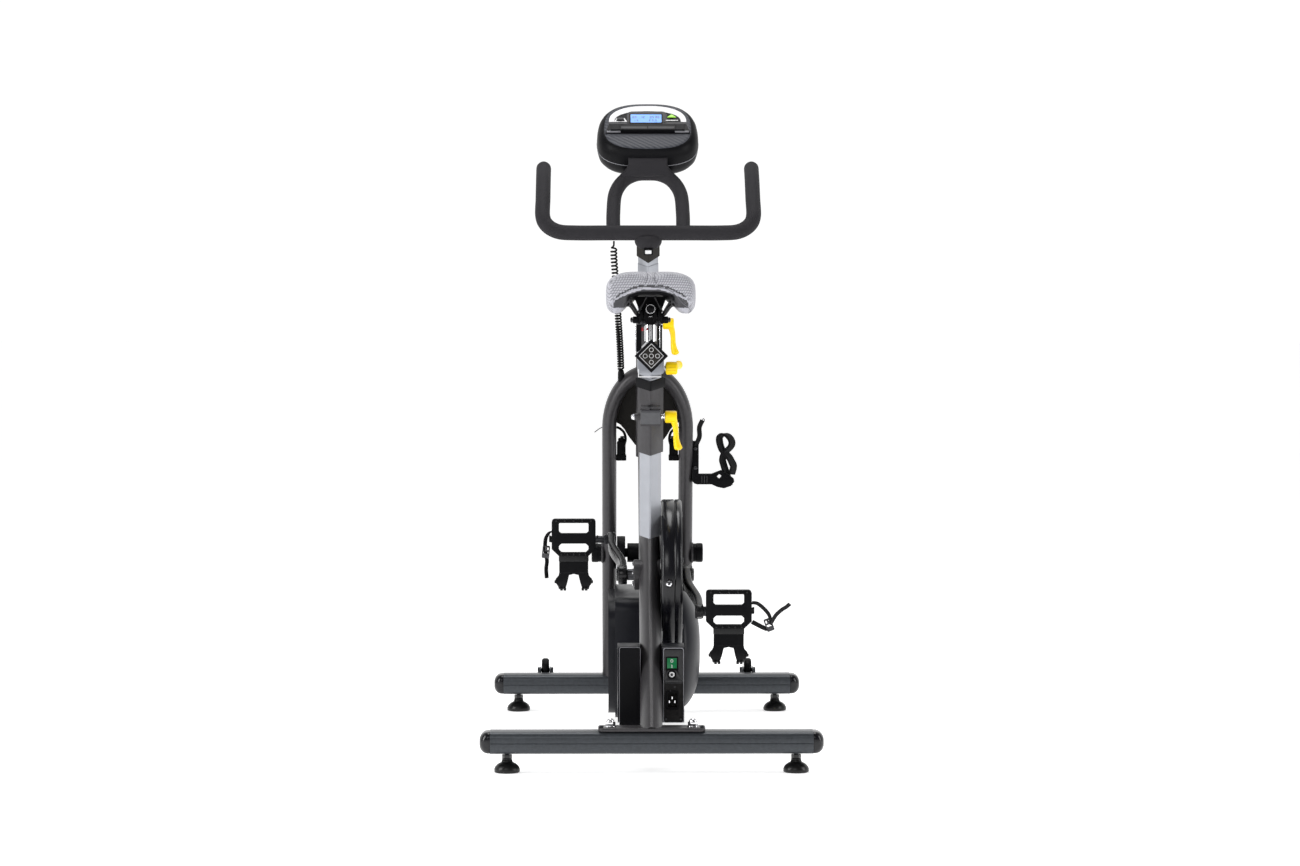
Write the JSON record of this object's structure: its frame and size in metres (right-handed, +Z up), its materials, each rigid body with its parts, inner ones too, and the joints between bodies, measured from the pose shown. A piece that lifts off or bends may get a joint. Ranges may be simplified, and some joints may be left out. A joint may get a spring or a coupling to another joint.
{
  "type": "exercise bike",
  "caption": "Indoor exercise cycle with welded frame, belt drive to a generator, caged pedals, sliding seat and handlebar posts, and a console",
  "frame": {"origin": "on the floor under the middle of the machine, at the middle of its overall length and width", "axes": "+Z up, +Y the way the rider faces, +X to the rider's right"},
  "size_m": [0.611, 1.111, 1.2118],
  "materials": {
    "frame_paint": "semi-gloss dark grey paint",
    "slate_paint": "semi-gloss slate grey paint",
    "black_plastic": "fine-textured black moulding",
    "gloss_black": "gloss black moulding",
    "foot_rubber": "matt black rubber",
    "wheel_plastic": "matt black wheel",
    "belt_rubber": "ribbed black belt",
    "crank_paint": "semi-gloss black paint",
    "drive_steel": "machined steel",
    "silver_tube": "satin silver",
    "cast_aluminium": "cast and machined",
    "chrome": "polished chrome",
    "lever_yellow": "yellow moulded lever",
    "saddle_vinyl": "silver-grey textured vinyl",
    "bar_rubber": "matt dark grey rubber",
    "cord_rubber": "black cord jacket",
    "webbing": "woven black webbing",
    "screen": "blue display",
    "green_button": "green moulding",
    "white_button": "white moulding"
  },
  "bodies": {
    "frame": {"rear_stabiliser": "slate_paint", "front_stabiliser": "slate_paint", "end_cap_rear_left": "black_plastic", "end_cap_rear_right": "black_plastic", "end_cap_front_left": "black_plastic", "end_cap_front_right": "black_plastic", "main_beam": "frame_paint", "arch_leg_left": "frame_paint", "arch_leg_right": "frame_paint", "arch_shield": "black_plastic", "head_tube": "frame_paint", "top_tube": "frame_paint", "seat_tube": "frame_paint", "seat_collar": "black_plastic", "belt_guard_inner": "gloss_black", "belt_guard_outer": "gloss_black", "lower_housing_left": "black_plastic", "lower_housing_right": "black_plastic", "switch_panel": "black_plastic", "bottle_bracket": "black_plastic", "bottle_strap": "webbing", "drive_belt": "belt_rubber", "generator_belt": "belt_rubber", "coiled_cord": "cord_rubber"},
    "crank_set": {"crank_axle": "drive_steel", "crank_left": "crank_paint", "crank_right": "crank_paint"},
    "left_pedal": {"pedal_left": "black_plastic", "pedal_strap_left": "webbing"},
    "right_pedal": {"pedal_right": "black_plastic", "pedal_strap_right": "webbing"},
    "shaft": {"cross_shaft": "drive_steel"},
    "rotor": {"generator_rotor": "drive_steel"},
    "seat_mast": {"seat_post": "silver_tube", "seat_cradle": "cast_aluminium"},
    "saddle": {"seat_slider": "silver_tube", "slider_end_cap": "black_plastic", "saddle_clamp": "chrome", "saddle_shell": "black_plastic", "saddle_cushion": "saddle_vinyl"},
    "seat_height_clamp": {"seat_height_lever": "lever_yellow"},
    "seat_slide_clamp": {"seat_slide_lever": "lever_yellow"},
    "handlebar_clamp": {"handlebar_lever": "lever_yellow"},
    "handlebars": {"handlebar_post": "silver_tube", "handlebar_hub": "black_plastic", "handlebar": "bar_rubber", "console_rear_shell": "black_plastic", "console_front_shell": "black_plastic", "display_window": "screen"},
    "menu_key": {"menu_button": "black_plastic"},
    "start_key": {"start_button": "green_button"},
    "rocker": {"power_rocker": "green_button"},
    "breaker": {"breaker_button": "white_button"},
    "rear_left_foot": {"foot_rear_left": "foot_rubber"},
    "rear_right_foot": {"foot_rear_right": "foot_rubber"},
    "front_left_foot": {"foot_front_left": "foot_rubber"},
    "front_right_foot": {"foot_front_right": "foot_rubber"},
    "left_wheel": {"transport_wheel_left": "wheel_plastic"},
    "right_wheel": {"transport_wheel_right": "wheel_plastic"}
  },
  "joints": [
    {"name": "crank_spin", "type": "hinge", "parent": "frame", "child": "crank_set", "pos_m": [0, -0.1655, 0.324], "axis": [-1, 0, 0], "continuous": true},
    {"name": "left_pedal_spin", "type": "hinge", "parent": "crank_set", "child": "left_pedal", "pos_m": [-0.1425, -0.00438, 0.37822], "axis": [-1, 0, 0], "continuous": true},
    {"name": "right_pedal_spin", "type": "hinge", "parent": "crank_set", "child": "right_pedal", "pos_m": [0.1425, -0.32662, 0.26978], "axis": [-1, 0, 0], "continuous": true},
    {"name": "shaft_spin", "type": "hinge", "parent": "frame", "child": "shaft", "pos_m": [0, 0.37535, 0.325], "axis": [-1, 0, 0], "continuous": true},
    {"name": "rotor_spin", "type": "hinge", "parent": "frame", "child": "rotor", "pos_m": [0, 0.205, 0.15], "axis": [-1, 0, 0], "continuous": true},
    {"name": "seat_height", "type": "slide", "parent": "frame", "child": "seat_mast", "axis": [0, -0.2924, 0.9563], "range_m": [0, 0.16]},
    {"name": "seat_fore_aft", "type": "slide", "parent": "seat_mast", "child": "saddle", "axis": [0, 1, 0], "range_m": [-0.03, 0.08]},
    {"name": "handlebar_height", "type": "slide", "parent": "frame", "child": "handlebars", "axis": [0, -0.342, 0.9397], "range_m": [-0.1, 0.1], "deforming": ["coiled_cord"]},
    {"name": "seat_height_lever_turn", "type": "hinge", "parent": "frame", "child": "seat_height_clamp", "pos_m": [0.026, -0.31439, 0.62364], "axis": [1, 0, 0], "range_deg": [0, 100]},
    {"name": "seat_slide_lever_turn", "type": "hinge", "parent": "seat_mast", "child": "seat_slide_clamp", "pos_m": [0.027, -0.335, 0.713], "axis": [1, 0, 0], "range_deg": [0, 85]},
    {"name": "handlebar_lever_turn", "type": "hinge", "parent": "frame", "child": "handlebar_clamp", "pos_m": [0.0285, 0.21103, 0.78209], "axis": [1, 0, 0], "range_deg": [0, 100]},
    {"name": "rear_left_foot_level", "type": "slide", "parent": "frame", "child": "rear_left_foot", "axis": [0, 0, 1], "range_m": [-0.01, 0.0015]},
    {"name": "rear_right_foot_level", "type": "slide", "parent": "frame", "child": "rear_right_foot", "axis": [0, 0, 1], "range_m": [-0.01, 0.0015]},
    {"name": "front_left_foot_level", "type": "slide", "parent": "frame", "child": "front_left_foot", "axis": [0, 0, 1], "range_m": [-0.01, 0.0015]},
    {"name": "front_right_foot_level", "type": "slide", "parent": "frame", "child": "front_right_foot", "axis": [0, 0, 1], "range_m": [-0.01, 0.0015]},
    {"name": "left_wheel_spin", "type": "hinge", "parent": "frame", "child": "left_wheel", "pos_m": [-0.204, 0.5315, 0.076], "axis": [1, 0, 0], "continuous": true},
    {"name": "right_wheel_spin", "type": "hinge", "parent": "frame", "child": "right_wheel", "pos_m": [0.204, 0.5315, 0.076], "axis": [1, 0, 0], "continuous": true},
    {"name": "menu_press", "type": "slide", "parent": "handlebars", "child": "menu_key", "axis": [0, 0.6561, -0.7547], "range_m": [0, 0.0015], "stiffness_N_per_m": 800},
    {"name": "start_press", "type": "slide", "parent": "handlebars", "child": "start_key", "axis": [0, 0.6561, -0.7547], "range_m": [0, 0.0015], "stiffness_N_per_m": 800},
    {"name": "rocker_tip", "type": "hinge", "parent": "frame", "child": "rocker", "pos_m": [0.0375, -0.416, 0.1835], "axis": [1, 0, 0], "range_deg": [0, 12]},
    {"name": "breaker_press", "type": "slide", "parent": "frame", "child": "breaker", "axis": [0, 1, 0], "range_m": [0, 0.003], "stiffness_N_per_m": 800}
  ],
  "couplings": [
    {"joint": "shaft_spin", "follows": "crank_spin", "ratio": 3.7333},
    {"joint": "rotor_spin", "follows": "crank_spin", "ratio": 7.8596}
  ]
}
